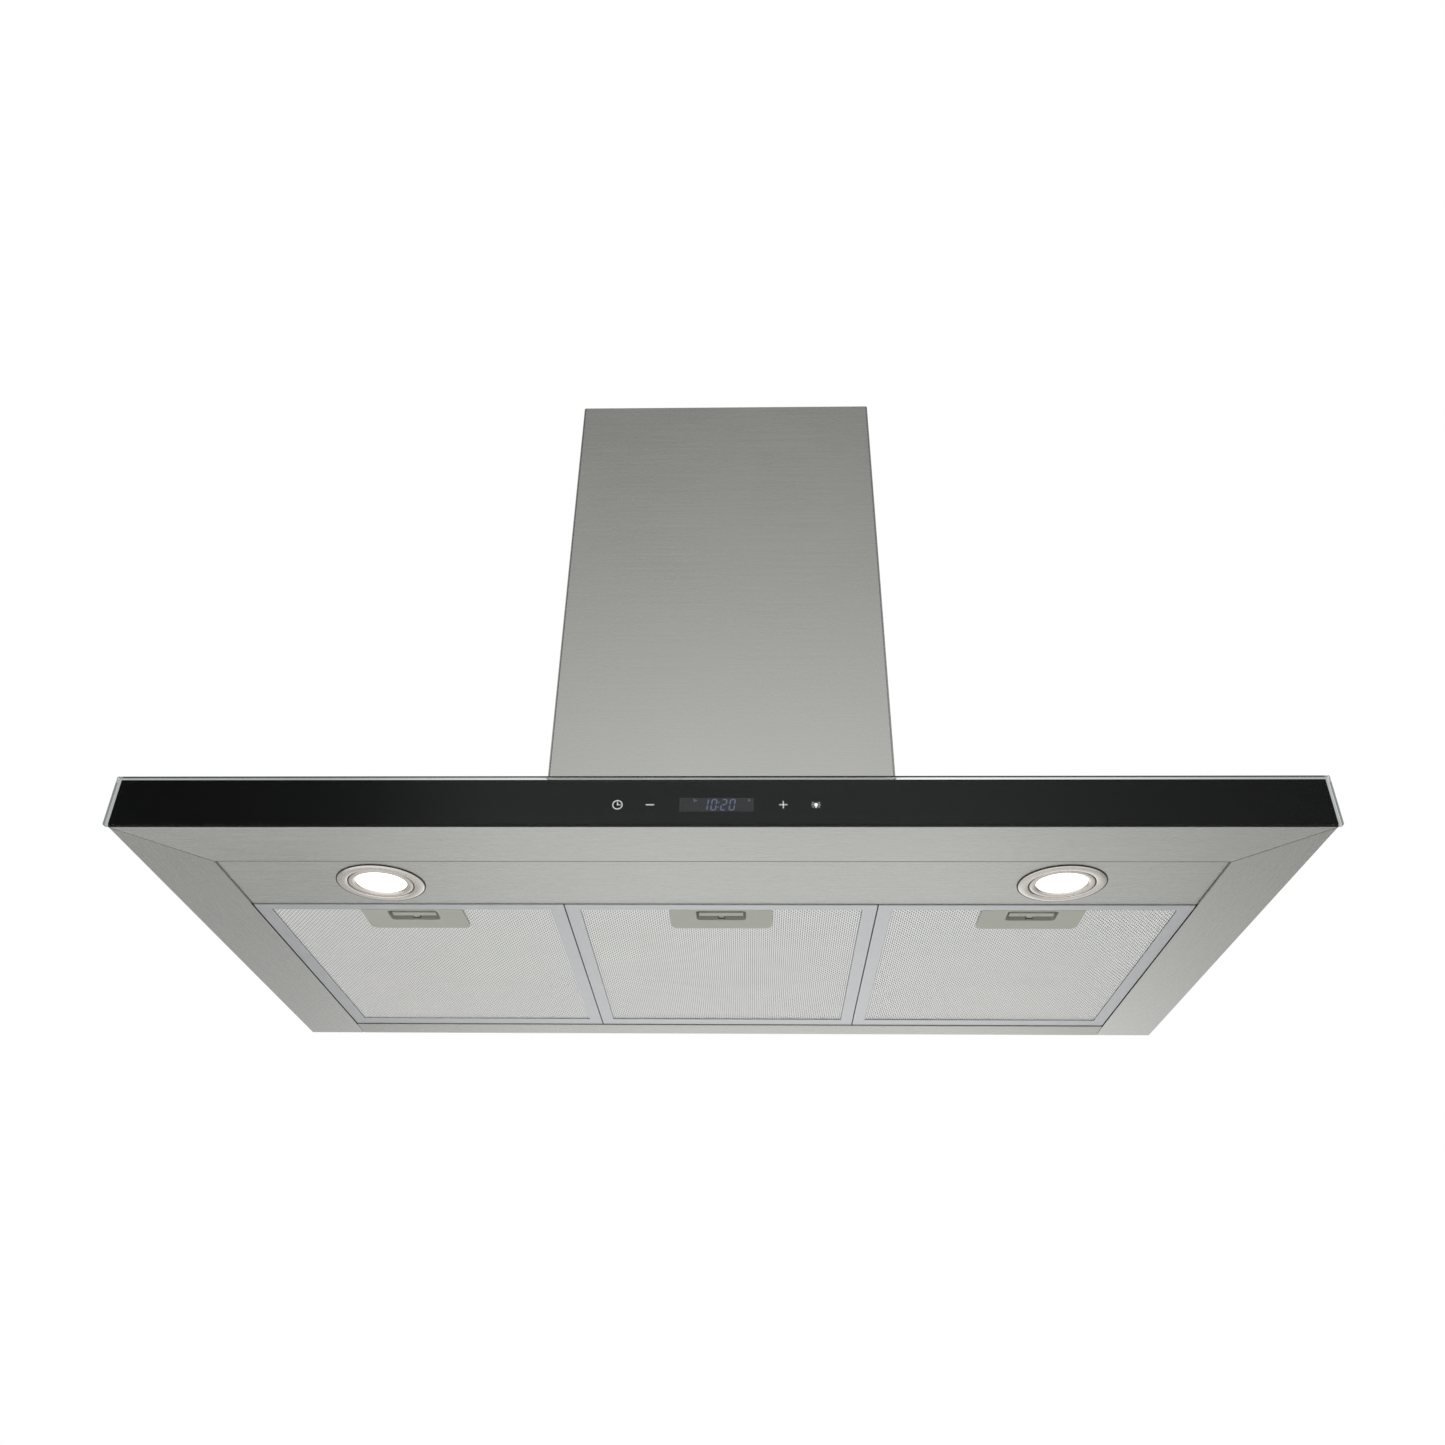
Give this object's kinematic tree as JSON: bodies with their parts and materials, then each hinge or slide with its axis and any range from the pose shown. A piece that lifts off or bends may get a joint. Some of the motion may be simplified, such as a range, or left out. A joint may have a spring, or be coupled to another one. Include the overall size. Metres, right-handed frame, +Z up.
{
  "type": "island range hood",
  "caption": "Slim T-shaped island range hood with a black glass touch-control front, grease filters, downlights and a telescoping square chimney.",
  "frame": {"origin": "centre of the canopy's underside, below the middle of the glass front and back edges", "axes": "+X to the right seen from the front, +Y to the back, +Z up; the glass front faces -Y"},
  "size_m": [0.9, 0.5, 0.542],
  "materials": {
    "brushed_stainless": "brushed stainless sheet, fine straight grain",
    "galvanised_steel": "dull zinc-coated sheet",
    "black_glass": "clear toughened glass printed black on its back",
    "filter_aluminium": "satin anodised aluminium channel",
    "filter_mesh": "layered expanded aluminium mesh",
    "grey_plastic": "moulded olive-grey plastic, fine matt texture",
    "black_plastic": "moulded black plastic",
    "white_plastic": "moulded off-white plastic",
    "display_plastic": "smoked display window",
    "circuit_board": "green solder mask",
    "satin_chrome": "satin nickel-chrome plate",
    "lamp_glass": "frosted lamp lens, lit warm white",
    "ceramic": "unglazed lamp-holder ceramic",
    "bright_steel": "plain bright steel"
  },
  "bodies": {
    "ceiling_section": {"ceiling_frame": "galvanised_steel", "upper_chimney_front": "brushed_stainless", "upper_chimney_rear": "brushed_stainless"},
    "hood": {"canopy_shell": "brushed_stainless", "bottom_strip_front": "brushed_stainless", "bottom_strip_left": "brushed_stainless", "bottom_strip_right": "brushed_stainless", "bottom_strip_rear": "brushed_stainless", "lamp_panel": "brushed_stainless", "lower_chimney_front": "brushed_stainless", "lower_chimney_rear": "brushed_stainless", "support_frame": "galvanised_steel", "blower_scroll": "galvanised_steel", "blower_side_left": "galvanised_steel", "blower_side_right": "galvanised_steel", "motor_bracket": "galvanised_steel", "duct_collar": "galvanised_steel", "glass_panel": "black_glass", "control_housing": "black_plastic", "cable_gland": "black_plastic", "touch_keys_left": "white_plastic", "touch_keys_right": "white_plastic", "lamp_driver": "white_plastic", "terminal_box": "white_plastic", "capacitor": "white_plastic", "display_module": "display_plastic", "control_board": "circuit_board", "lamp_trim_left": "satin_chrome", "lamp_trim_right": "satin_chrome", "lamp_ring_left": "satin_chrome", "lamp_ring_right": "satin_chrome", "lamp_bulb_left": "lamp_glass", "lamp_bulb_right": "lamp_glass", "lamp_socket_left": "ceramic", "lamp_socket_right": "ceramic", "motor": "bright_steel", "damper_pin": "bright_steel", "frame_bolt_front_left": "bright_steel", "frame_bolt_front_right": "bright_steel", "frame_bolt_rear_left": "bright_steel", "frame_bolt_rear_right": "bright_steel"},
    "filter_left": {"filter_frame_left": "filter_aluminium", "filter_mesh_left": "filter_mesh", "filter_handle_left": "grey_plastic", "latch_spring_left": "bright_steel"},
    "latch_left": {"filter_latch_left": "grey_plastic"},
    "filter_centre": {"filter_frame_centre": "filter_aluminium", "filter_mesh_centre": "filter_mesh", "filter_handle_centre": "grey_plastic", "latch_spring_centre": "bright_steel"},
    "latch_centre": {"filter_latch_centre": "grey_plastic"},
    "filter_right": {"filter_frame_right": "filter_aluminium", "filter_mesh_right": "filter_mesh", "filter_handle_right": "grey_plastic", "latch_spring_right": "bright_steel"},
    "latch_right": {"filter_latch_right": "grey_plastic"},
    "fan": {"impeller": "galvanised_steel", "motor_shaft": "bright_steel"},
    "damper_front": {"damper_flap_front": "galvanised_steel"},
    "damper_rear": {"damper_flap_rear": "galvanised_steel"}
  },
  "joints": [
    {"name": "telescope", "type": "slide", "parent": "ceiling_section", "child": "hood", "axis": [0, 0, -1], "range_m": [0, 0.3]},
    {"name": "filter_swing_left", "type": "hinge", "parent": "hood", "child": "filter_left", "pos_m": [-0.2608, 0.218, 0.0033], "axis": [1, 0, 0], "range_deg": [0, 75]},
    {"name": "latch_slide_left", "type": "slide", "parent": "filter_left", "child": "latch_left", "axis": [0, 1, 0], "range_m": [0, 0.006], "stiffness_N_per_m": 300, "springref_m": -0.003, "deforming": ["latch_spring_left"]},
    {"name": "filter_swing_centre", "type": "hinge", "parent": "hood", "child": "filter_centre", "pos_m": [0, 0.218, 0.0033], "axis": [1, 0, 0], "range_deg": [0, 75]},
    {"name": "latch_slide_centre", "type": "slide", "parent": "filter_centre", "child": "latch_centre", "axis": [0, 1, 0], "range_m": [0, 0.006], "stiffness_N_per_m": 300, "springref_m": -0.003, "deforming": ["latch_spring_centre"]},
    {"name": "filter_swing_right", "type": "hinge", "parent": "hood", "child": "filter_right", "pos_m": [0.2608, 0.218, 0.0033], "axis": [1, 0, 0], "range_deg": [0, 75]},
    {"name": "latch_slide_right", "type": "slide", "parent": "filter_right", "child": "latch_right", "axis": [0, 1, 0], "range_m": [0, 0.006], "stiffness_N_per_m": 300, "springref_m": -0.003, "deforming": ["latch_spring_right"]},
    {"name": "fan_spin", "type": "hinge", "parent": "hood", "child": "fan", "pos_m": [0, -0.02493, 0.155], "axis": [1, 0, 0], "continuous": true},
    {"name": "damper_front_swing", "type": "hinge", "parent": "hood", "child": "damper_front", "pos_m": [0, 0, 0.2733], "axis": [-1, 0, 0], "range_deg": [0, 74]},
    {"name": "damper_rear_swing", "type": "hinge", "parent": "hood", "child": "damper_rear", "pos_m": [0, 0, 0.2733], "axis": [1, 0, 0], "range_deg": [0, 74]}
  ]
}
